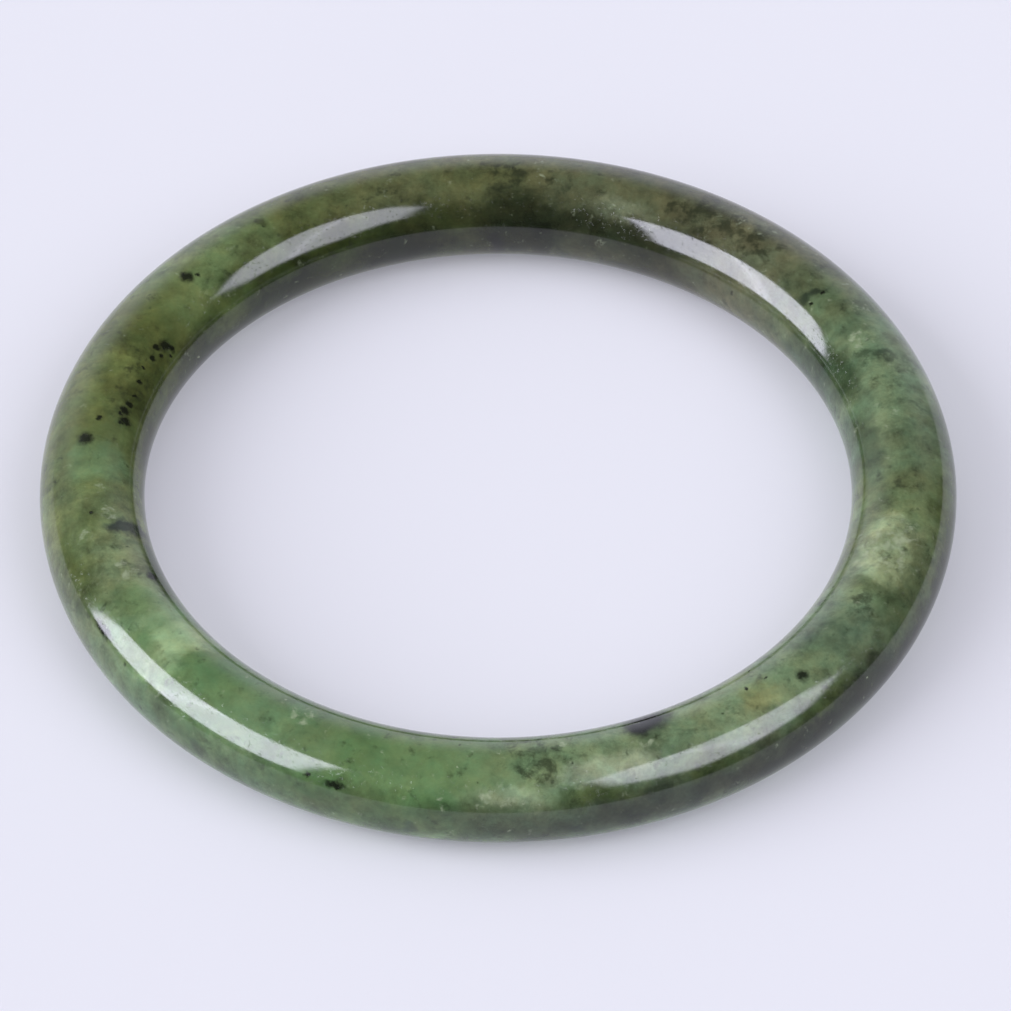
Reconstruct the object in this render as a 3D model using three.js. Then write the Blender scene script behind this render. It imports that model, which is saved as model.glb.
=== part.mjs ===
// A closed, one-piece bangle bracelet of the round-bar kind, ground and polished from a
// single slab of nephrite. Units are millimetres, +Z is up, and the bangle lies flat:
// the origin is at the middle of the ring, on the surface that it rests on.

import * as THREE from "three";

// Driving dimensions.
const INNER_DIAMETER = 58; // the opening that the hand goes through
const BAR_WIDTH = 8.6; // the bar's section, across the ring
const BAR_HEIGHT = 8.2; // the bar's section, along the ring's axis

// How finely the round shapes are faceted.
const RING_SEGMENTS = 96;
const SECTION_SEGMENTS = 32;

const RING_RADIUS = (INNER_DIAMETER + BAR_WIDTH) / 2; // to the middle of the bar

// The bar's closed section as (distance from the ring's axis, height) points. It is a
// polygon drawn round an ellipse, so that each facet touches the ellipse at its middle.
// One facet lies exactly at the bottom and one at the top: those are the narrow lands
// that the bangle rests on, either way up.
function barSection() {
  const outside = 1 / Math.cos(Math.PI / SECTION_SEGMENTS);
  const points = [];
  for (let i = 0; i <= SECTION_SEGMENTS; i++) {
    const corner = (i % SECTION_SEGMENTS) + 0.5;
    const angle = (corner * 2 * Math.PI) / SECTION_SEGMENTS;
    const across = (BAR_WIDTH / 2) * outside * Math.cos(angle);
    const up = (BAR_HEIGHT / 2) * outside * Math.sin(angle);
    points.push(new THREE.Vector2(RING_RADIUS + across, BAR_HEIGHT / 2 + up));
  }
  return points;
}

// The whole stone: the bar's section turned round the ring's axis. A lathe turns about
// Y, so the ring is then tipped up to stand about Z.
function stoneRing() {
  const geometry = new THREE.LatheGeometry(barSection(), RING_SEGMENTS);
  geometry.rotateX(Math.PI / 2);
  const polishedNephrite = new THREE.MeshStandardMaterial({
    color: 0x5c7040,
    roughness: 0.12,
    metalness: 0,
  });
  const ring = new THREE.Mesh(geometry, polishedNephrite);
  ring.name = "stone_ring";
  return ring;
}

const bangle = new THREE.Group();
bangle.add(stoneRing());

export default bangle;
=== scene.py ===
"""A solid nephrite bangle bracelet, ground round, polished, and lying flat on pale paper."""

import math

import bpy
from mathutils import Matrix, Vector


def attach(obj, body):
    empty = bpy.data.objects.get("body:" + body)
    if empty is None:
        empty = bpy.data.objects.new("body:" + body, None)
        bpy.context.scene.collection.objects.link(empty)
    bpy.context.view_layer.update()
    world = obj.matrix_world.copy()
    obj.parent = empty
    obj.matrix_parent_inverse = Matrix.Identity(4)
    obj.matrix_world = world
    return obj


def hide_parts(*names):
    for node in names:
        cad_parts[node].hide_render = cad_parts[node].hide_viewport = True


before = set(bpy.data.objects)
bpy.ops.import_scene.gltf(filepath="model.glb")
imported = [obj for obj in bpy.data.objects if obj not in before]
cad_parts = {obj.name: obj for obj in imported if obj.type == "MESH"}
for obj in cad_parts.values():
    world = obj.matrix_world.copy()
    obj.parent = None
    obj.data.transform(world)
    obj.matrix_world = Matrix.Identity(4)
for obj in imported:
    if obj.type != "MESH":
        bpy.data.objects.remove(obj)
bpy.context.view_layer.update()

MM = 0.001

# The bangle's own sizes, the same as in the CAD model.
INNER_DIAMETER = 58.0 * MM
BAR_WIDTH = 8.6 * MM
BAR_HEIGHT = 8.2 * MM
RING_RADIUS = (INNER_DIAMETER + BAR_WIDTH) / 2  # to the middle of the bar
BAR_MIDDLE = BAR_HEIGHT / 2  # height of the bar's middle above the paper

# The mesh: steps round the ring and round the bar, and how far hand polishing strays.
RING_STEPS = 540
BAR_STEPS = 96
POLISH_WAVE_HEIGHT = 0.02 * MM
POLISH_WAVE_LENGTH = 9.0 * MM
POLISH_SEED = 4.0

# The camera: far off with a long lens, looking down at the bangle from the -Y side.
CAMERA_ELEVATION = math.radians(46.2)
CAMERA_DISTANCE = 28.3 * RING_RADIUS
CAMERA_LENS = 409.0
CAMERA_AIM = Vector((0.6 * MM, -1.8 * MM, BAR_MIDDLE))

# The Mix node's inputs and outputs have the same names for each kind of value, so they are
# taken by number: the factor, then the two that are mixed, and the output.
FACTOR = 0
NUMBER_A, NUMBER_B, NUMBER_OUT = 2, 3, 0
VECTOR_A, VECTOR_B, VECTOR_OUT = 4, 5, 1
COLOUR_A, COLOUR_B, COLOUR_OUT = 6, 7, 2


def linear(hex_colour):
    """Turns an sRGB colour such as "#5C7040" into linear red, green, blue and alpha."""
    channels = [int(hex_colour[i : i + 2], 16) / 255 for i in (1, 3, 5)]
    values = [c / 12.92 if c <= 0.04045 else ((c + 0.055) / 1.055) ** 2.4 for c in channels]
    return (*values, 1.0)


def add_node(tree, kind, settings, inputs):
    """Adds a node, sets its properties, then links or fills in each of its inputs."""
    node = tree.nodes.new(kind)
    for name, value in settings.items():
        setattr(node, name, value)
    for key, value in inputs.items():
        if isinstance(value, bpy.types.NodeSocket):
            tree.links.new(value, node.inputs[key])
        else:
            node.inputs[key].default_value = value
    return node


def direction(azimuth, elevation):
    """The unit vector that points to an azimuth (from +X towards +Y) and an elevation."""
    a = math.radians(azimuth)
    e = math.radians(elevation)
    return Vector((math.cos(e) * math.cos(a), math.cos(e) * math.sin(a), math.sin(e)))


# ---------------------------------------------------------------------------------------
# Camera


def set_camera():
    data = bpy.data.cameras.new("product_camera")
    data.sensor_width = 36.0
    data.lens = CAMERA_LENS
    data.clip_start = 0.01
    data.clip_end = 30.0
    camera = bpy.data.objects.new("product_camera", data)
    bpy.context.scene.collection.objects.link(camera)
    ring_middle = Vector((0, 0, BAR_MIDDLE))
    away = Vector((0, -math.cos(CAMERA_ELEVATION), math.sin(CAMERA_ELEVATION)))
    camera.location = ring_middle + away * CAMERA_DISTANCE
    sight = CAMERA_AIM - camera.location
    camera.rotation_euler = sight.to_track_quat("-Z", "Y").to_euler()
    bpy.context.scene.camera = camera


# ---------------------------------------------------------------------------------------
# The stone ring's shape


def ring_shape_tree():
    """Geometry nodes that sweep the bar's oval section round the ring and polish it."""
    tree = bpy.data.node_groups.new("turned_stone_ring", "GeometryNodeTree")
    sockets = (
        ("Inner Diameter", "NodeSocketFloat"),
        ("Bar Width", "NodeSocketFloat"),
        ("Bar Height", "NodeSocketFloat"),
        ("Ring Steps", "NodeSocketInt"),
        ("Bar Steps", "NodeSocketInt"),
        ("Wave Height", "NodeSocketFloat"),
        ("Wave Length", "NodeSocketFloat"),
        ("Seed", "NodeSocketFloat"),
        ("Stone", "NodeSocketMaterial"),
    )
    for name, kind in sockets:
        tree.interface.new_socket(name=name, in_out="INPUT", socket_type=kind)
    tree.interface.new_socket(name="Ring", in_out="OUTPUT", socket_type="NodeSocketGeometry")
    given = add_node(tree, "NodeGroupInput", {}, {}).outputs

    # The path is the circle that runs along the middle of the bar.
    across = add_node(tree, "ShaderNodeMath", {"operation": "ADD"},
                      {0: given["Inner Diameter"], 1: given["Bar Width"]})
    radius = add_node(tree, "ShaderNodeMath", {"operation": "MULTIPLY"},
                      {0: across.outputs[0], 1: 0.5})
    path = add_node(tree, "GeometryNodeCurvePrimitiveCircle", {"mode": "RADIUS"},
                    {"Resolution": given["Ring Steps"], "Radius": radius.outputs[0]})
    upright = add_node(tree, "GeometryNodeSetCurveNormal", {"mode": "Z_UP"},
                       {"Curve": path.outputs["Curve"]})

    # The section is a circle drawn out to the bar's width and height.
    circle = add_node(tree, "GeometryNodeCurvePrimitiveCircle", {"mode": "RADIUS"},
                      {"Resolution": given["Bar Steps"], "Radius": 0.5})
    section_size = add_node(tree, "ShaderNodeCombineXYZ", {},
                            {"X": given["Bar Width"], "Y": given["Bar Height"], "Z": 1.0})
    section = add_node(tree, "GeometryNodeTransform", {},
                       {"Geometry": circle.outputs["Curve"], "Scale": section_size.outputs[0]})
    swept = add_node(tree, "GeometryNodeCurveToMesh", {},
                     {"Curve": upright.outputs["Curve"],
                      "Profile Curve": section.outputs["Geometry"]})

    # The wheel takes a hair off here and there, so highlights wander a little.
    wave_count = add_node(tree, "ShaderNodeMath", {"operation": "DIVIDE"},
                          {0: 1.0, 1: given["Wave Length"]})
    wave = add_node(tree, "ShaderNodeTexNoise", {"noise_dimensions": "4D"},
                    {"Scale": wave_count.outputs[0], "W": given["Seed"], "Detail": 1.0})
    centred = add_node(tree, "ShaderNodeMath", {"operation": "SUBTRACT"},
                       {0: wave.outputs[0], 1: 0.5})
    amount = add_node(tree, "ShaderNodeMath", {"operation": "MULTIPLY"},
                      {0: centred.outputs[0], 1: given["Wave Height"]})
    outward = add_node(tree, "GeometryNodeInputNormal", {}, {})
    push = add_node(tree, "ShaderNodeVectorMath", {"operation": "SCALE"},
                    {0: outward.outputs[0], "Scale": amount.outputs[0]})
    half_height = add_node(tree, "ShaderNodeMath", {"operation": "MULTIPLY"},
                           {0: given["Bar Height"], 1: 0.5})
    lift = add_node(tree, "ShaderNodeCombineXYZ", {}, {"Z": half_height.outputs[0]})
    move = add_node(tree, "ShaderNodeVectorMath", {"operation": "ADD"},
                    {0: push.outputs[0], 1: lift.outputs[0]})
    placed = add_node(tree, "GeometryNodeSetPosition", {},
                      {"Geometry": swept.outputs["Mesh"], "Offset": move.outputs[0]})
    smooth = add_node(tree, "GeometryNodeSetShadeSmooth", {}, {"Geometry": placed.outputs[0]})
    solid = add_node(tree, "GeometryNodeRealizeInstances", {}, {"Geometry": smooth.outputs[0]})
    stone = add_node(tree, "GeometryNodeSetMaterial", {},
                     {"Geometry": solid.outputs[0], "Material": given["Stone"]})
    add_node(tree, "NodeGroupOutput", {}, {"Ring": stone.outputs[0]})
    return tree


def stone_ring(material):
    """The whole bangle as one plain mesh."""
    maker = bpy.data.objects.new("ring_maker", bpy.data.meshes.new("ring_maker"))
    bpy.context.scene.collection.objects.link(maker)
    modifier = maker.modifiers.new("turned_stone_ring", "NODES")
    modifier.node_group = ring_shape_tree()
    values = {
        "Inner Diameter": INNER_DIAMETER,
        "Bar Width": BAR_WIDTH,
        "Bar Height": BAR_HEIGHT,
        "Ring Steps": RING_STEPS,
        "Bar Steps": BAR_STEPS,
        "Wave Height": POLISH_WAVE_HEIGHT,
        "Wave Length": POLISH_WAVE_LENGTH,
        "Seed": POLISH_SEED,
        "Stone": material,
    }
    for item in modifier.node_group.interface.items_tree:
        if item.in_out == "INPUT":
            modifier[item.identifier] = values[item.name]
    evaluated = maker.evaluated_get(bpy.context.evaluated_depsgraph_get())
    mesh = bpy.data.meshes.new_from_object(evaluated)
    bpy.data.objects.remove(maker)
    mesh.name = "polished_stone_ring"
    ring = bpy.data.objects.new("polished_stone_ring", mesh)
    bpy.context.scene.collection.objects.link(ring)
    return ring


# ---------------------------------------------------------------------------------------
# The stone

# Body colour round the ring, by angle from +X towards +Y.
BODY_COLOURS = (
    (0, "#5D6D50"),
    (12, "#687B5D"),
    (24, "#677B5E"),
    (33, "#566347"),
    (44, "#5B6049"),
    (54, "#555742"),
    (66, "#50533C"),
    (80, "#555A42"),
    (92, "#5C6141"),
    (106, "#565B3E"),
    (122, "#565E39"),
    (133, "#5E6D48"),
    (143, "#647349"),
    (152, "#566036"),
    (162, "#606A3E"),
    (172, "#566139"),
    (184, "#5D6B42"),
    (194, "#6C7853"),
    (204, "#798865"),
    (212, "#7A936D"),
    (224, "#617B52"),
    (236, "#657E5B"),
    (250, "#5E754D"),
    (264, "#6B825A"),
    (276, "#6B7F5D"),
    (290, "#627558"),
    (303, "#748564"),
    (320, "#667859"),
    (331, "#748564"),
    (341, "#798663"),
    (352, "#65734F"),
    (360, "#5D6D50"),
)

# The features below are placed by ring angle and bar angle, in degrees. Bar angle 0 faces
# outwards, 90 up and 180 inwards. Each has a size in millimetres and is drawn out by its
# form, along the ring and round the bar.
FORMS = {"round": (1.0, 1.0), "long": (3.0, 1.0), "tall": (1.0, 2.5)}
CUT_REACH = 20  # degrees from +X within which a feature may reach past it

# A feature is solid out to the first part of its half size, and has faded out at the second.
PATCH_EDGE = (0.4, 1.3)
PLACE_EDGE = (0.5, 1.3)
GRAIN_EDGE = (0.35, 1.2)

# Soft patches of other stone, and dark bands of painted shade, with their colour and how much
# of it shows.
STONE_AND_PAINTED_SHADE_PATCHES = (
    (219.5, 100, 4.2, "tall", "#9DB489", 0.8),
    (228.5, 84, 5.0, "round", "#587950", 0.45),
    (252, 70, 6.5, "round", "#56764B", 0.5),
    (262, 66, 6.5, "round", "#56764B", 0.45),
    (246, 27, 2.6, "long", "#3C5E33", 0.5),
    (260, 27, 2.6, "long", "#3C5E33", 0.5),
    (194, 126, 2.1, "tall", "#22282A", 0.85),
    (292.5, 118, 4.4, "round", "#191B21", 0.95),
    (91, 190, 2.2, "round", "#372E46", 0.6),
    # Painted shade: dark bands along the far inner wall, which stand in for the shade that
    # falls there.
    (68, 150, 4.8, "long", "#1C2416", 0.75),
    (86, 150, 4.8, "long", "#171E10", 0.85),
    (104, 152, 4.6, "long", "#232C12", 0.8),
    (121, 152, 4.6, "long", "#28330F", 0.75),
    (137, 152, 4.4, "long", "#2C3910", 0.6),
    (162, 136, 4.2, "long", "#353B1B", 0.65),
    (66, 184, 4.6, "long", "#161B12", 0.55),
    (86, 184, 4.6, "long", "#12160E", 0.85),
    (106, 184, 4.6, "long", "#12160E", 0.85),
    (127, 182, 4.6, "long", "#171B12", 0.8),
    (150, 178, 4.4, "long", "#20241A", 0.75),
    (170, 178, 4.4, "long", "#24281D", 0.75),
    (190, 180, 4.4, "long", "#30362A", 0.6),
    (157, 92, 1.5, "tall", "#35381F", 0.55),
    (126, 85, 1.2, "round", "#32341F", 0.7),
    (325, 88, 8.0, "round", "#465B4E", 0.5),
    # Painted shade: dark bands along the bar's low outer side, which stand in for the shade
    # there.
    (203, 8, 4.6, "long", "#414C38", 0.6),
    (221, 6, 4.6, "long", "#465640", 0.6),
    (239, 6, 4.6, "long", "#435339", 0.55),
    (256, 6, 4.6, "long", "#3F4C33", 0.55),
    (272, 6, 4.6, "long", "#2C3329", 0.6),
    (290, 8, 5.0, "long", "#1D1F1A", 0.8),
    (308, 8, 5.0, "long", "#1A1B16", 0.85),
    (326, 10, 5.0, "long", "#1B1D17", 0.85),
    (344, 6, 4.6, "long", "#24271F", 0.75),
    (282, 34, 2.2, "long", "#39451B", 0.6),
    (298, 35, 2.2, "long", "#36421C", 0.65),
    (315, 36, 2.2, "long", "#38451F", 0.6),
    (284, 60, 2.8, "long", "#A3AE98", 0.5),
    (342, 92, 7.0, "round", "#8A9877", 0.4),
    (307.5, 80, 3.0, "round", "#8C905F", 0.45),
    (285, 88, 5.0, "round", "#808F6C", 0.45),
    (70, 126, 2.2, "long", "#7A8168", 0.5),
    (34.8, 99, 1.3, "round", "#232B24", 0.75),
    (34.9, 113, 1.2, "round", "#232B24", 0.7),
    (20.2, 82, 0.9, "tall", "#2C3828", 0.7),
    (21, 104, 0.9, "tall", "#2C3828", 0.7),
    (181, 100, 5.0, "round", "#6F8E68", 0.5),
    (195, 58, 3.4, "long", "#44522A", 0.55),
    (208.5, 88, 4.2, "round", "#52734A", 0.55),
    (334, 88, 2.6, "tall", "#485A3C", 0.5),
    (348, 74, 3.0, "round", "#4F5F3A", 0.3),
    (338, 104, 3.0, "round", "#A2AE90", 0.35),
    (346, 98, 2.4, "round", "#98A582", 0.45),
    (271.5, 38, 2.4, "long", "#8D9B80", 0.5),
    (231, 5, 1.5, "round", "#2C3832", 0.5),
    (259, -5, 1.3, "round", "#2C3832", 0.5),
    (280, -5, 1.3, "round", "#2C3832", 0.5),
    (5, 138, 3.4, "long", "#36452D", 0.65),
    (22, 141, 3.6, "long", "#27351F", 0.8),
    # Painted shade on the low inner side.
    (25, 176, 4.0, "long", "#26352B", 0.65),
    (6, 179, 3.8, "long", "#34453A", 0.4),
    (337, 47, 3.6, "long", "#2F3A20", 0.65),
    (353, 35, 2.8, "long", "#36431F", 0.6),
    (8, 34, 2.8, "long", "#36431F", 0.5),
    # Painted shade on the low outer side.
    (8, 4, 4.0, "long", "#2A2C22", 0.55),
    (340, 141, 3.4, "long", "#45543A", 0.6),
    (205, 64, 2.8, "long", "#4A5638", 0.45),
    # Painted shade: more dark bands along the low outer side.
    (351, -6, 4.8, "long", "#23261C", 0.55),
    (333, -12, 4.8, "long", "#1B1D16", 0.65),
    (312, -14, 4.6, "long", "#1B1D16", 0.6),
    (276, -14, 4.0, "long", "#23281C", 0.5),
    (202, 42, 3.2, "long", "#36431F", 0.6),
    (203, 144, 3.6, "long", "#26341F", 0.85),
    (217, 142, 3.0, "long", "#3C5232", 0.5),
    (217, 58, 2.6, "long", "#4A6238", 0.5),
    (260, 141, 3.2, "long", "#3A4F2F", 0.55),
    # Painted shade: dark bands along the low inner side on the left.
    (142, 206, 4.2, "long", "#15180F", 0.8),
    (160, 204, 4.2, "long", "#1A1E14", 0.8),
    (178, 204, 4.2, "long", "#20261A", 0.75),
    (356, 100, 3.4, "tall", "#565E3C", 0.35),
    (93, 104, 2.6, "long", "#3C4327", 0.45),
    (60, -20, 5.0, "long", "#68765A", 0.6),
    (150, -35, 4.0, "long", "#3F4A30", 0.6),
    (20, -45, 5.0, "round", "#6F8460", 0.6),
    (205, -45, 5.0, "long", "#465D3C", 0.6),
    (120, 232, 3.6, "long", "#343B2A", 0.6),
    (250, 215, 4.6, "long", "#4A5A40", 0.5),
    (330, 200, 4.0, "long", "#6C7C5C", 0.5),
)

# Places with fine pale cracks and flecks, and how thick they are there.
CRACKLES = (
    (24, 99, 2.2, "round", 0.17),
    (30, 73, 2.0, "round", 0.14),
    (8.5, 95, 1.0, "round", 0.16),
    (52, 78, 2.6, "long", 0.06),
    (84, 86, 1.8, "tall", 0.09),
    (110, 88, 0.9, "round", 0.14),
    (186.5, 97, 1.4, "round", 0.21),
    (191.5, 102, 1.7, "round", 0.18),
    (194.5, 72, 1.6, "round", 0.15),
    (203, 98, 2.6, "round", 0.18),
    (241.5, 94, 2.5, "round", 0.15),
    (270, 96, 0.6, "round", 0.18),
    (279, 102, 0.8, "round", 0.18),
    (271, 38, 2.2, "long", 0.10),
    (288, 78, 1.8, "long", 0.06),
    (342, 94, 7.0, "round", 0.14),
    (100, -30, 3.6, "round", 0.12),
    (220, -45, 3.6, "round", 0.12),
    (340, -40, 3.0, "long", 0.10),
    (40, 215, 3.6, "round", 0.12),
    (200, 205, 3.0, "long", 0.10),
)

# Places clouded by dark mottling, and how thick it is there.
MOTTLES = (
    (275.5, 82, 5.0, "round", 0.14),
    (89, 101, 4.2, "round", 0.15),
    (54, 100, 4.2, "long", 0.14),
    (331, 82, 3.0, "round", 0.12),
    (355, 88, 4.6, "round", 0.06),
    (16, 80, 3.0, "tall", 0.05),
    (341, 84, 3.4, "round", 0.09),
    (109, 94, 3.2, "long", 0.05),
    (162, 122, 3.6, "long", 0.06),
    (197, 88, 4.0, "round", 0.08),
    (130, -40, 4.0, "round", 0.12),
    (265, -45, 3.6, "long", 0.12),
    (10, 225, 4.0, "round", 0.12),
    (170, 215, 3.2, "long", 0.12),
)

# Places where the stone is clear and even, and how far its pattern is lost there.
CLEAR_PLACES = (
    (213, 92, 9.0, "round", 0.45),
    (230, 95, 11.0, "round", 0.6),
    (249, 88, 11.0, "round", 0.6),
    (264, 78, 9.0, "round", 0.55),
    (148, 92, 8.0, "round", 0.4),
    (178, 92, 7.0, "round", 0.45),
    (24, -40, 9.0, "round", 0.5),
    (190, 225, 9.0, "round", 0.5),
)

# Places where the fibres are coarse and plain to see, and how much plainer they are there.
FIBROUS_PLACES = (
    (318, 96, 6.0, "round", 0.5),
    (342, 92, 9.0, "round", 0.9),
    (358, 90, 8.0, "round", 0.9),
    (12, 86, 6.0, "round", 0.5),
    (52, 95, 7.0, "round", 0.6),
    (80, -30, 8.0, "round", 0.6),
    (300, 220, 8.0, "round", 0.6),
)

# Dark grains of chromite and magnetite.
GRAINS = (
    (141.5, 94, 1.4, "round"),
    (141.3, 87, 0.6, "round"),
    (140, 101, 0.5, "round"),
    (154, 130, 1.5, "round"),
    (155.3, 123, 0.75, "round"),
    (153.5, 138, 0.8, "round"),
    (156, 133, 0.5, "round"),
    (154.7, 142, 0.45, "round"),
    (157.5, 125, 0.75, "round"),
    (160, 121, 0.45, "round"),
    (163, 125, 0.7, "round"),
    (166, 127, 0.45, "round"),
    (168.1, 124, 0.8, "round"),
    (169.6, 121, 1.0, "round"),
    (171.5, 125, 1.25, "round"),
    (170.6, 117, 0.5, "round"),
    (172.3, 119, 0.5, "round"),
    (172.5, 94, 0.75, "round"),
    (176.7, 82.5, 1.7, "round"),
    (191, 84, 0.6, "round"),
    (204.8, 125, 1.3, "round"),
    (34.8, 97, 0.5, "round"),
    (34.5, 117, 0.5, "round"),
    (292, 121, 0.9, "long"),
    (307.5, 98, 0.4, "round"),
    (310.8, 96, 0.4, "round"),
    (315, 72.5, 1.3, "round"),
    (310.5, 124, 0.35, "round"),
    (263.5, 124, 0.5, "round"),
    (245.5, 31, 0.55, "round"),
    (249.3, 29, 0.7, "long"),
    (209.5, 37, 1.0, "long"),
    (70, -20, 0.85, "round"),
    (72, -28, 0.5, "round"),
    (128, -12, 0.8, "round"),
    (236, -50, 1.0, "round"),
    (238, -44, 0.5, "round"),
    (352, -38, 0.95, "round"),
    (285, -62, 0.8, "round"),
    (100, 235, 1.1, "round"),
    (20, 200, 0.85, "round"),
    (300, 215, 0.85, "round"),
)

# How outlines wander: soft ones far and slowly, ragged ones a little and often.
SOFT_WAVE = 4.0 * MM
SOFT_REACH = 5.0 * MM
RAGGED_WAVE = 0.5 * MM
RAGGED_REACH = 0.8 * MM

# Clouds and felted fibres, by how much darker and lighter than the body they go. The noise
# that makes them seldom strays below the low level or above the high one.
NOISE_LOW = 0.3
NOISE_HIGH = 0.7
CLOUD_SIZE = 2.2 * MM
CLOUD_DARKEST = 0.51
CLOUD_LIGHTEST = 1.55
FIBRE_BUNDLE = 0.55 * MM
FIBRE_DRAWN_OUT = 5.0  # how many times longer than wide a bundle is
FIBRE_CONTRAST = 0.42
FIBRE_PATCH = 7.0 * MM  # how far apart the plain and the plainer-marked places are
CLEAR_BRIGHTNESS = 1.03

# Where iron has stained the felt it leans to olive, and elsewhere to a colder green.
IRON_SIZE = 2.5 * MM
OLIVE_LEAN = (1.08, 1.0, 0.97)
COLD_LEAN = (0.92, 1.0, 1.03)

# Dark mottling and pale cracks: the noise's size and seed, the colour, the level at which
# the noise begins to show it, and how much of it shows at most.
DARK_STONE = "#23281C"
PALE_STONE = "#A9B49A"
BREAKS = (
    (MOTTLES, 1.1 * MM, 3.0, DARK_STONE, 0.55, 0.7),
    (CRACKLES, 0.9 * MM, 8.0, PALE_STONE, 0.6, 0.6),
)
BREAK_EDGE = 0.2

# Specks too small to list one by one, one in some of the cells of a fine honeycomb: what in
# a cell's random colour picks it, the speck's colour, its part of a cell, and how rare.
GRAIN_COLOUR = "#12150F"
SPECK_CELL = 1.5 * MM
SPECKS = (
    ("X", GRAIN_COLOUR, 0.1, 0.9),
    ("Y", PALE_STONE, 0.07, 0.965),
)
GRAIN_COVER = 0.93
SPECK_COVER = 0.7

# The polish.
NEPHRITE_IOR = 1.61  # measured for nephrite: 1.60 to 1.63
WAXY_GLOSS = 0.4  # a little under the 0.5 of a perfect polish
PIT_SIZE = 0.3 * MM
PIT_DEPTH = 0.006 * MM
BRIGHTEST_POLISH = 0.07  # roughness
DULLEST_POLISH = 0.17


def ring_place(ring_angle, bar_angle):
    """Where a feature lies on the bar unrolled flat: along the ring, then round the bar."""
    along = math.radians(ring_angle) * RING_RADIUS
    around = math.radians(bar_angle) * BAR_HEIGHT / 2
    return Vector((along, around, 0.0))


def unrolled(tree, point):
    """Ring angle as a fraction of a turn, and the point's place on the unrolled bar.

    The bar is opened underneath, along the line that it rests on, and the ring at +X.
    """
    parts = add_node(tree, "ShaderNodeSeparateXYZ", {}, {0: point})
    flat = add_node(tree, "ShaderNodeCombineXYZ", {},
                    {"X": parts.outputs["X"], "Y": parts.outputs["Y"]})
    out = add_node(tree, "ShaderNodeVectorMath", {"operation": "LENGTH"}, {0: flat.outputs[0]})
    outwards = add_node(tree, "ShaderNodeMath", {"operation": "SUBTRACT"},
                        {0: out.outputs["Value"], 1: RING_RADIUS})
    upwards = add_node(tree, "ShaderNodeMath", {"operation": "SUBTRACT"},
                       {0: parts.outputs["Z"], 1: BAR_MIDDLE})
    fractions = []
    for rise, run, start in (
        (parts.outputs["Y"], parts.outputs["X"], 0.0),
        (upwards.outputs[0], outwards.outputs[0], 0.25),
    ):
        angle = add_node(tree, "ShaderNodeMath", {"operation": "ARCTAN2"}, {0: rise, 1: run})
        turn = add_node(tree, "ShaderNodeMath", {"operation": "MULTIPLY_ADD"},
                        {0: angle.outputs[0], 1: 0.5 / math.pi, 2: start})
        fraction = add_node(tree, "ShaderNodeMath", {"operation": "FRACT"},
                            {0: turn.outputs[0]})
        fractions.append(fraction.outputs[0])
    pair = add_node(tree, "ShaderNodeCombineXYZ", {}, {"X": fractions[0], "Y": fractions[1]})
    once_round = ring_place(360, 360)
    start = ring_place(0, -90)
    place = add_node(tree, "ShaderNodeVectorMath", {"operation": "MULTIPLY_ADD"},
                     {0: pair.outputs[0], 1: once_round, 2: start})
    return fractions[0], place.outputs[0]


def drawn_out(tree, place):
    """The unrolled place squeezed for each form, so that round spots come out in that form."""
    places = {}
    for form, (along, around) in FORMS.items():
        squeezed = add_node(tree, "ShaderNodeVectorMath", {"operation": "MULTIPLY"},
                            {0: place, 1: (1 / along, 1 / around, 0.0)})
        places[form] = squeezed.outputs[0]
    return places


def spot(tree, places, ring_angle, bar_angle, size, form, solid, gone, amount):
    """How much of a spot shows: the amount inside, fading out between two parts of its size."""
    along, around = FORMS[form]
    middle = ring_place(ring_angle, bar_angle)
    distance = add_node(tree, "ShaderNodeVectorMath", {"operation": "DISTANCE"},
                        {0: places[form], 1: (middle.x / along, middle.y / around, 0.0)})
    radius = size / 2 * MM
    cover = add_node(tree, "ShaderNodeMapRange", {"interpolation_type": "SMOOTHSTEP"}, {
        "Value": distance.outputs["Value"],
        "From Min": solid * radius, "From Max": gone * radius,
        "To Min": amount, "To Max": 0.0,
    })
    return cover.outputs[0]


def over_the_cut(spots):
    """The spots, with a copy one turn further for those that may reach over the cut at +X."""
    for ring_angle, *rest in spots:
        yield (ring_angle, *rest)
        if ring_angle < CUT_REACH:
            yield (ring_angle + 360, *rest)
        if ring_angle > 360 - CUT_REACH:
            yield (ring_angle - 360, *rest)


def spots_total(tree, places, spots):
    """The summed amounts of a list of soft-edged spots."""
    total = 0.0
    for *where, amount in over_the_cut(spots):
        cover = spot(tree, places, *where, *PLACE_EDGE, amount)
        total = add_node(tree, "ShaderNodeMath", {"operation": "ADD"},
                         {0: cover, 1: total}).outputs[0]
    return total


def shifted(tree, point, noise_size, detail, amount):
    """The point moved about by noise, so that outlines and bands become irregular."""
    noise = add_node(tree, "ShaderNodeTexNoise", {},
                     {"Vector": point, "Scale": 1 / noise_size, "Detail": detail,
                      "Roughness": 0.6})
    centred = add_node(tree, "ShaderNodeVectorMath", {"operation": "SUBTRACT"},
                       {0: noise.outputs["Color"], 1: (0.5, 0.5, 0.5)})
    move = add_node(tree, "ShaderNodeVectorMath", {"operation": "SCALE"},
                    {0: centred.outputs[0], "Scale": amount})
    return add_node(tree, "ShaderNodeVectorMath", {"operation": "ADD"},
                    {0: point, 1: move.outputs[0]}).outputs[0]


def body_colour(tree, ring_fraction):
    """The stone's main colour, which changes slowly round the ring."""
    body = add_node(tree, "ShaderNodeValToRGB", {}, {"Fac": ring_fraction})
    stops = body.color_ramp.elements
    stops[1].position = 1.0
    stops[1].color = linear(BODY_COLOURS[-1][1])
    stops[0].color = linear(BODY_COLOURS[0][1])
    for ring_angle, colour in BODY_COLOURS[1:-1]:
        stops.new(ring_angle / 360).color = linear(colour)
    return body.outputs["Color"]


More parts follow.
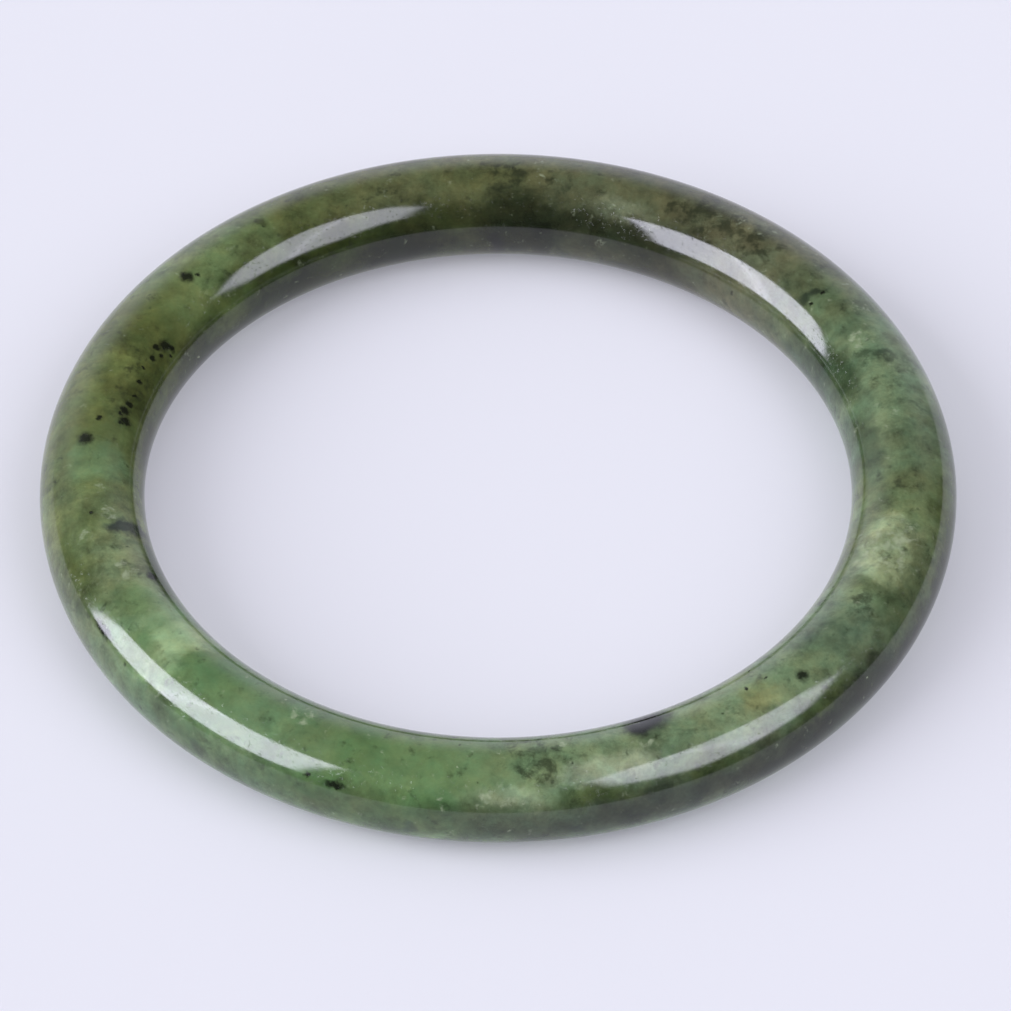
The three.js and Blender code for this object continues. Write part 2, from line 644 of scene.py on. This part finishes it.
def fibres(tree, point):
    """Noise drawn out across the bar and fine along the ring, like felted fibres."""
    parts = add_node(tree, "ShaderNodeSeparateXYZ", {}, {0: point})
    flat = add_node(tree, "ShaderNodeCombineXYZ", {},
                    {"X": parts.outputs["X"], "Y": parts.outputs["Y"]})
    out = add_node(tree, "ShaderNodeVectorMath", {"operation": "LENGTH"}, {0: flat.outputs[0]})
    heading = add_node(tree, "ShaderNodeVectorMath", {"operation": "NORMALIZE"},
                       {0: flat.outputs[0]})
    on_ring = add_node(tree, "ShaderNodeVectorMath", {"operation": "SCALE"},
                       {0: heading.outputs[0], "Scale": RING_RADIUS})
    lift = add_node(tree, "ShaderNodeMath", {"operation": "MULTIPLY"},
                    {0: parts.outputs["Z"], 1: 1 / FIBRE_DRAWN_OUT})
    lifted = add_node(tree, "ShaderNodeCombineXYZ", {}, {"Z": lift.outputs[0]})
    stretched = add_node(tree, "ShaderNodeVectorMath", {"operation": "ADD"},
                         {0: on_ring.outputs[0], 1: lifted.outputs[0]})
    across = add_node(tree, "ShaderNodeMath", {"operation": "MULTIPLY"},
                      {0: out.outputs["Value"], 1: 1 / (FIBRE_DRAWN_OUT * FIBRE_BUNDLE)})
    return add_node(tree, "ShaderNodeTexNoise", {"noise_dimensions": "4D"},
                    {"Vector": stretched.outputs[0], "W": across.outputs[0],
                     "Scale": 1 / FIBRE_BUNDLE, "Detail": 5.0, "Roughness": 0.75}).outputs[0]


def clouds_and_fibres(tree, colour, place, ragged, soft_places):
    """Clouds of lighter and darker stone, with felted fibres like brush marks across them."""
    clouds = add_node(tree, "ShaderNodeTexNoise", {},
                      {"Vector": place, "Scale": 1 / CLOUD_SIZE, "Detail": 7.0,
                       "Roughness": 0.7, "Distortion": 0.2})
    brightness = add_node(tree, "ShaderNodeMapRange", {}, {
        "Value": clouds.outputs[0], "From Min": NOISE_LOW, "From Max": NOISE_HIGH,
        "To Min": CLOUD_DARKEST, "To Max": CLOUD_LIGHTEST,
    })
    strand = add_node(tree, "ShaderNodeMapRange", {}, {
        "Value": fibres(tree, ragged), "From Min": NOISE_LOW, "From Max": NOISE_HIGH,
        "To Min": -FIBRE_CONTRAST, "To Max": FIBRE_CONTRAST,
    })
    # The fibres are plainer in some places than in others.
    plainness = add_node(tree, "ShaderNodeTexNoise", {},
                         {"Vector": place, "Scale": 1 / FIBRE_PATCH, "Detail": 2.0})
    plainly = add_node(tree, "ShaderNodeMapRange", {}, {
        "Value": plainness.outputs[0],
        "From Min": 0.35, "From Max": 0.65, "To Min": 0.55, "To Max": 1.5,
    })
    plainer = add_node(tree, "ShaderNodeMath", {"operation": "ADD"},
                       {0: plainly.outputs[0],
                        1: spots_total(tree, soft_places, FIBROUS_PLACES)})
    both = add_node(tree, "ShaderNodeMath", {"operation": "MULTIPLY_ADD"},
                    {0: strand.outputs[0], 1: plainer.outputs[0], 2: brightness.outputs[0]})
    clearness = spots_total(tree, soft_places, CLEAR_PLACES)
    pattern = add_node(tree, "ShaderNodeMix", {"data_type": "FLOAT"},
                       {FACTOR: clearness, NUMBER_A: both.outputs[0],
                        NUMBER_B: CLEAR_BRIGHTNESS})
    return add_node(tree, "ShaderNodeVectorMath", {"operation": "SCALE"},
                    {0: colour, "Scale": pattern.outputs[NUMBER_OUT]}).outputs[0]


def iron_stain(tree, colour, place):
    """The colour leaning to olive where there is iron, and to a colder green elsewhere."""
    iron = add_node(tree, "ShaderNodeTexNoise", {"noise_dimensions": "4D"},
                    {"Vector": place, "W": 5.0, "Scale": 1 / IRON_SIZE, "Detail": 5.0,
                     "Roughness": 0.65})
    stained = add_node(tree, "ShaderNodeMapRange", {}, {
        "Value": iron.outputs[0],
        "From Min": 0.38, "From Max": 0.62, "To Min": 0.0, "To Max": 1.0,
    })
    lean = add_node(tree, "ShaderNodeMix", {"data_type": "VECTOR"},
                    {FACTOR: stained.outputs[0], VECTOR_A: COLD_LEAN, VECTOR_B: OLIVE_LEAN})
    return add_node(tree, "ShaderNodeVectorMath", {"operation": "MULTIPLY"},
                    {0: colour, 1: lean.outputs[VECTOR_OUT]}).outputs[0]


def mottles_and_cracks(tree, colour, place, ragged_places):
    """Dark mottling and pale cracks, which break up the clouds where the noise runs high."""
    for spots, size, seed, shade, start, strength in BREAKS:
        extra = spots_total(tree, ragged_places, spots)
        noise = add_node(tree, "ShaderNodeTexNoise", {"noise_dimensions": "4D"},
                         {"Vector": place, "W": seed, "Scale": 1 / size, "Detail": 6.0,
                          "Roughness": 0.62, "Distortion": 0.3})
        raised = add_node(tree, "ShaderNodeMath", {"operation": "ADD"},
                          {0: noise.outputs[0], 1: extra})
        shown = add_node(tree, "ShaderNodeMapRange", {"interpolation_type": "SMOOTHSTEP"}, {
            "Value": raised.outputs[0], "From Min": start, "From Max": start + BREAK_EDGE,
            "To Min": 0.0, "To Max": strength,
        })
        colour = add_node(tree, "ShaderNodeMix", {"data_type": "RGBA"},
                          {FACTOR: shown.outputs[0], COLOUR_A: colour,
                           COLOUR_B: linear(shade)}).outputs[COLOUR_OUT]
    return colour


def grains_and_specks(tree, colour, ragged, ragged_places):
    """The listed grains, and the dark and pale specks between them."""
    for where in GRAINS:
        cover = spot(tree, ragged_places, *where, *GRAIN_EDGE, GRAIN_COVER)
        colour = add_node(tree, "ShaderNodeMix", {"data_type": "RGBA"},
                          {FACTOR: cover, COLOUR_A: colour,
                           COLOUR_B: linear(GRAIN_COLOUR)}).outputs[COLOUR_OUT]
    cells = add_node(tree, "ShaderNodeTexVoronoi", {},
                     {"Vector": ragged, "Scale": 1 / SPECK_CELL})
    chance = add_node(tree, "ShaderNodeSeparateXYZ", {}, {0: cells.outputs["Color"]})
    for part, shade, size, rarity in SPECKS:
        chosen = add_node(tree, "ShaderNodeMath", {"operation": "GREATER_THAN"},
                          {0: chance.outputs[part], 1: rarity})
        inside = add_node(tree, "ShaderNodeMapRange", {"interpolation_type": "SMOOTHSTEP"}, {
            "Value": cells.outputs["Distance"],
            "From Min": size * 0.5, "From Max": size * 1.5,
            "To Min": SPECK_COVER, "To Max": 0.0,
        })
        cover = add_node(tree, "ShaderNodeMath", {"operation": "MULTIPLY"},
                         {0: chosen.outputs[0], 1: inside.outputs[0]})
        colour = add_node(tree, "ShaderNodeMix", {"data_type": "RGBA"},
                          {FACTOR: cover.outputs[0], COLOUR_A: colour,
                           COLOUR_B: linear(shade)}).outputs[COLOUR_OUT]
    return colour


def polish(tree, place):
    """Roughness and normal: softer fibres cut a little lower, and are a little duller."""
    grain = add_node(tree, "ShaderNodeTexNoise", {},
                     {"Vector": place, "Scale": 1 / PIT_SIZE, "Detail": 4.0,
                      "Roughness": 0.7})
    pits = add_node(tree, "ShaderNodeMapRange", {"interpolation_type": "SMOOTHSTEP"}, {
        "Value": grain.outputs[0],
        "From Min": 0.6, "From Max": 0.72, "To Min": 1.0, "To Max": 0.0,
    })
    surface = add_node(tree, "ShaderNodeBump", {},
                       {"Height": pits.outputs[0], "Strength": 1.0, "Distance": PIT_DEPTH})
    dullness = add_node(tree, "ShaderNodeMapRange", {}, {
        "Value": grain.outputs[0], "From Min": 0.35, "From Max": 0.75,
        "To Min": BRIGHTEST_POLISH, "To Max": DULLEST_POLISH,
    })
    return dullness.outputs[0], surface.outputs[0]


def nephrite():
    """Nephrite jade, ground round on a wheel and polished with fine powder on leather.

    The stone is a felt of microscopic fibres, so it takes a waxy gloss instead of a glassy
    one: sharp highlights on a body that looks soft and cloudy, with dark grains, pale cracks
    and mottling at all depths. The grains and clouds are at their real sizes in millimetres.
    The fibres are really a few hundredths of a millimetre thick, and are drawn coarser, as
    the bundles that the eye makes out.
    """
    material = bpy.data.materials.new("nephrite_jade_ground_and_polished")
    material.use_nodes = True
    tree = material.node_tree
    tree.nodes.clear()
    place = add_node(tree, "ShaderNodeTexCoord", {}, {}).outputs["Object"]
    drifted = shifted(tree, place, SOFT_WAVE, 5.0, SOFT_REACH)
    ragged = shifted(tree, place, RAGGED_WAVE, 4.0, RAGGED_REACH)
    ring_fraction, soft_place = unrolled(tree, drifted)
    ragged_place = unrolled(tree, ragged)[1]
    soft_places = drawn_out(tree, soft_place)
    ragged_places = drawn_out(tree, ragged_place)

    colour = body_colour(tree, ring_fraction)
    # Patches of other stone, and the dark bands of painted shade on the far inner wall and low
    # sides.
    for *where, shade, amount in over_the_cut(STONE_AND_PAINTED_SHADE_PATCHES):
        cover = spot(tree, soft_places, *where, *PATCH_EDGE, amount)
        colour = add_node(tree, "ShaderNodeMix", {"data_type": "RGBA"},
                          {FACTOR: cover, COLOUR_A: colour,
                           COLOUR_B: linear(shade)}).outputs[COLOUR_OUT]
    colour = clouds_and_fibres(tree, colour, place, ragged, soft_places)
    colour = iron_stain(tree, colour, place)
    colour = mottles_and_cracks(tree, colour, place, ragged_places)
    colour = grains_and_specks(tree, colour, ragged, ragged_places)

    dullness, surface = polish(tree, place)
    shader = add_node(tree, "ShaderNodeBsdfPrincipled", {},
                      {"Base Color": colour, "Roughness": dullness,
                       "IOR": NEPHRITE_IOR, "Specular IOR Level": WAXY_GLOSS,
                       "Normal": surface})
    add_node(tree, "ShaderNodeOutputMaterial", {}, {"Surface": shader.outputs[0]})
    return material


# ---------------------------------------------------------------------------------------
# The stage

PAPER_COLOUR = "#D2D2DF"
BACKDROP_COLOUR = "#E9EAF8"
PAPER_RADIUS = 20.0
PAPER_PAINTED_GLOW_COLOUR = "#E5E5F3"
PAPER_PAINTED_GLOW = 0.22  # glow painted into the paper, which lifts all its shadows evenly

# Each soft box is a flat lit panel: the azimuth and elevation of its top left, top right,
# bottom right and bottom left corners as seen from the bangle, how far its corners reach
# (2 is square, 1.41 is an even octagon) and how soft its edges are. Then how brightly it
# lights the paper and the stone's body, and how bright it looks in the polish.
SOFT_BOXES = (
    (((162.5, 39.5), (227.0, 52.0), (225.0, 14.0), (167.0, 7.0)), 1.9, 0.05, 3.45, 11.0),
    (((295.0, 61.0), (363.0, 58.0), (358.0, 21.0), (299.0, 21.0)), 1.45, 0.12, 1.75, 6.3),
)
CORE_GAIN = 1.45
CORE_WIDTH = 0.14
POLISH_TINT = "#EEEEFF"

# The paper sweeps up behind the bangle, and the polish shows it as a pale glow.
SWEEP_AZIMUTH = 98.0
SWEEP_BRIGHTNESS = 1.12
SWEEP_FULL_ELEVATION = 16.0
SWEEP_TOP_ELEVATION = 52.0
SWEEP_HALF_SPREAD = 58.0

# Light that has been round the room, from every side and from the ceiling.
ROOM_BRIGHTNESS = 0.37
CEILING_BRIGHTNESS = 0.36
CEILING_EDGE_ELEVATION = 35.0
CEILING_FULL_ELEVATION = 75.0
ROOM_IN_POLISH = 0.03


def paper_floor():
    mesh = bpy.data.meshes.new("paper")
    corners = [(x * PAPER_RADIUS, y * PAPER_RADIUS, 0.0)
               for x, y in ((-1, -1), (1, -1), (1, 1), (-1, 1))]
    mesh.from_pydata(corners, [], [(0, 1, 2, 3)])
    floor = bpy.data.objects.new("paper", mesh)
    bpy.context.scene.collection.objects.link(floor)
    # Uncoated paper, pressed smooth: it scatters light evenly and has no gloss at all.
    material = bpy.data.materials.new("smooth_matt_paper")
    material.use_nodes = True
    shader = material.node_tree.nodes["Principled BSDF"]
    shader.inputs["Base Color"].default_value = linear(PAPER_COLOUR)
    shader.inputs["Roughness"].default_value = 1.0
    shader.inputs["Specular IOR Level"].default_value = 0.0
    # Painted glow: the paper gives off light of its own, which lightens its shadows.
    shader.inputs["Emission Color"].default_value = linear(PAPER_PAINTED_GLOW_COLOUR)
    shader.inputs["Emission Strength"].default_value = PAPER_PAINTED_GLOW
    mesh.materials.append(material)


def panel_readings(corners):
    """Three vectors that read where a ray meets a panel, as across, up and depth.

    Divided by the depth reading, the other two run from -1 to 1 over the panel.
    """
    top_left, top_right, bottom_right, bottom_left = (direction(*c) for c in corners)
    sides = Matrix((top_left, -top_right, bottom_right)).transposed()
    reach = sides.inverted() @ bottom_left
    top_left = top_left * reach[0]
    top_right = top_right * reach[1]
    bottom_right = bottom_right * reach[2]
    middle = (top_left + bottom_right) / 2
    across = (top_right - top_left) / 2
    up = (top_right - bottom_right) / 2
    return Matrix((across, up, middle)).transposed().inverted()


def panel_light(tree, ray, corners, reach, edge):
    """How far a ray hits one soft box (0 to 1), and the same with its brighter middle."""
    across, up, depth = panel_readings(corners)
    facing = add_node(tree, "ShaderNodeVectorMath", {"operation": "DOT_PRODUCT"},
                      {0: ray, 1: depth}).outputs["Value"]
    in_front = add_node(tree, "ShaderNodeMath", {"operation": "MAXIMUM"}, {0: facing, 1: 0.05})
    distances = []
    for axis in (across, up):
        offset = add_node(tree, "ShaderNodeVectorMath", {"operation": "DOT_PRODUCT"},
                          {0: ray, 1: axis})
        place = add_node(tree, "ShaderNodeMath", {"operation": "DIVIDE"},
                         {0: offset.outputs["Value"], 1: in_front.outputs[0]})
        distance = add_node(tree, "ShaderNodeMath", {"operation": "ABSOLUTE"},
                            {0: place.outputs[0]})
        distances.append(distance.outputs[0])
    square = add_node(tree, "ShaderNodeMath", {"operation": "MAXIMUM"},
                      {0: distances[0], 1: distances[1]})
    both = add_node(tree, "ShaderNodeMath", {"operation": "ADD"},
                    {0: distances[0], 1: distances[1]})
    slant = add_node(tree, "ShaderNodeMath", {"operation": "DIVIDE"},
                     {0: both.outputs[0], 1: reach})
    outline = add_node(tree, "ShaderNodeMath", {"operation": "MAXIMUM"},
                       {0: square.outputs[0], 1: slant.outputs[0]})
    inside = add_node(tree, "ShaderNodeMapRange", {"interpolation_type": "SMOOTHSTEP"}, {
        "Value": outline.outputs[0],
        "From Min": 1.0 - edge, "From Max": 1.0 + edge, "To Min": 1.0, "To Max": 0.0,
    })
    core = add_node(tree, "ShaderNodeMapRange", {"interpolation_type": "SMOOTHSTEP"}, {
        "Value": distances[0],
        "From Min": 0.0, "From Max": CORE_WIDTH, "To Min": CORE_GAIN, "To Max": 1.0,
    })
    cored = add_node(tree, "ShaderNodeMath", {"operation": "MULTIPLY"},
                     {0: inside.outputs[0], 1: core.outputs[0]})
    return inside.outputs[0], cored.outputs[0]


def studio_light():
    """Two soft boxes, a pale sweep and a ceiling, all far off, in a room with dark walls.

    The paper and the body of the stone are lit by soft light from all round, while the
    polish mirrors the lamps sharply, so the two kinds of ray are kept apart.
    """
    world = bpy.data.worlds.new("studio")
    bpy.context.scene.world = world
    world.use_nodes = True
    tree = world.node_tree
    tree.nodes.clear()
    ray = add_node(tree, "ShaderNodeTexCoord", {}, {}).outputs["Generated"]
    height = add_node(tree, "ShaderNodeSeparateXYZ", {}, {0: ray}).outputs["Z"]

    ceiling = add_node(tree, "ShaderNodeMapRange", {"interpolation_type": "SMOOTHSTEP"}, {
        "Value": height,
        "From Min": math.sin(math.radians(CEILING_EDGE_ELEVATION)),
        "From Max": math.sin(math.radians(CEILING_FULL_ELEVATION)),
        "To Min": ROOM_BRIGHTNESS, "To Max": ROOM_BRIGHTNESS + CEILING_BRIGHTNESS,
    })
    heading = add_node(tree, "ShaderNodeVectorMath", {"operation": "MULTIPLY"},
                       {0: ray, 1: (1.0, 1.0, 0.0)})
    level = add_node(tree, "ShaderNodeVectorMath", {"operation": "NORMALIZE"},
                     {0: heading.outputs[0]})
    towards_sweep = add_node(tree, "ShaderNodeVectorMath", {"operation": "DOT_PRODUCT"},
                             {0: level.outputs[0], 1: direction(SWEEP_AZIMUTH, 0.0)})
    spread = add_node(tree, "ShaderNodeMapRange", {"interpolation_type": "SMOOTHSTEP"}, {
        "Value": towards_sweep.outputs["Value"],
        "From Min": math.cos(math.radians(SWEEP_HALF_SPREAD)), "From Max": 1.0,
        "To Min": 0.0, "To Max": SWEEP_BRIGHTNESS,
    })
    fade = add_node(tree, "ShaderNodeMapRange", {"interpolation_type": "SMOOTHSTEP"}, {
        "Value": height,
        "From Min": math.sin(math.radians(SWEEP_FULL_ELEVATION)),
        "From Max": math.sin(math.radians(SWEEP_TOP_ELEVATION)),
        "To Min": 1.0, "To Max": 0.0,
    })
    sweep = add_node(tree, "ShaderNodeMath", {"operation": "MULTIPLY_ADD"},
                     {0: spread.outputs[0], 1: fade.outputs[0], 2: ROOM_IN_POLISH})

    soft = ceiling.outputs[0]
    shown = sweep.outputs[0]
    for corners, reach, edge, soft_brightness, polish_brightness in SOFT_BOXES:
        inside, cored = panel_light(tree, ray, corners, reach, edge)
        soft = add_node(tree, "ShaderNodeMath", {"operation": "MULTIPLY_ADD"},
                        {0: inside, 1: soft_brightness, 2: soft}).outputs[0]
        shown = add_node(tree, "ShaderNodeMath", {"operation": "MULTIPLY_ADD"},
                         {0: cored, 1: polish_brightness, 2: shown}).outputs[0]

    path = add_node(tree, "ShaderNodeLightPath", {}, {}).outputs
    tinted = add_node(tree, "ShaderNodeVectorMath", {"operation": "SCALE"},
                      {0: linear(POLISH_TINT)[:3], "Scale": shown})
    light = add_node(tree, "ShaderNodeMix", {"data_type": "RGBA"},
                     {FACTOR: path["Is Glossy Ray"], COLOUR_A: soft,
                      COLOUR_B: tinted.outputs[0]})
    colour = add_node(tree, "ShaderNodeMix", {"data_type": "RGBA"},
                      {FACTOR: path["Is Camera Ray"], COLOUR_A: light.outputs[COLOUR_OUT],
                       COLOUR_B: linear(BACKDROP_COLOUR)})
    background = add_node(tree, "ShaderNodeBackground", {},
                          {"Color": colour.outputs[COLOUR_OUT]})
    add_node(tree, "ShaderNodeOutputWorld", {}, {"Surface": background.outputs[0]})


# ---------------------------------------------------------------------------------------

set_camera()
bpy.context.scene.view_settings.view_transform = "Standard"
studio_light()
paper_floor()

ring = stone_ring(nephrite())
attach(ring, "root")
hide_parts("stone_ring")
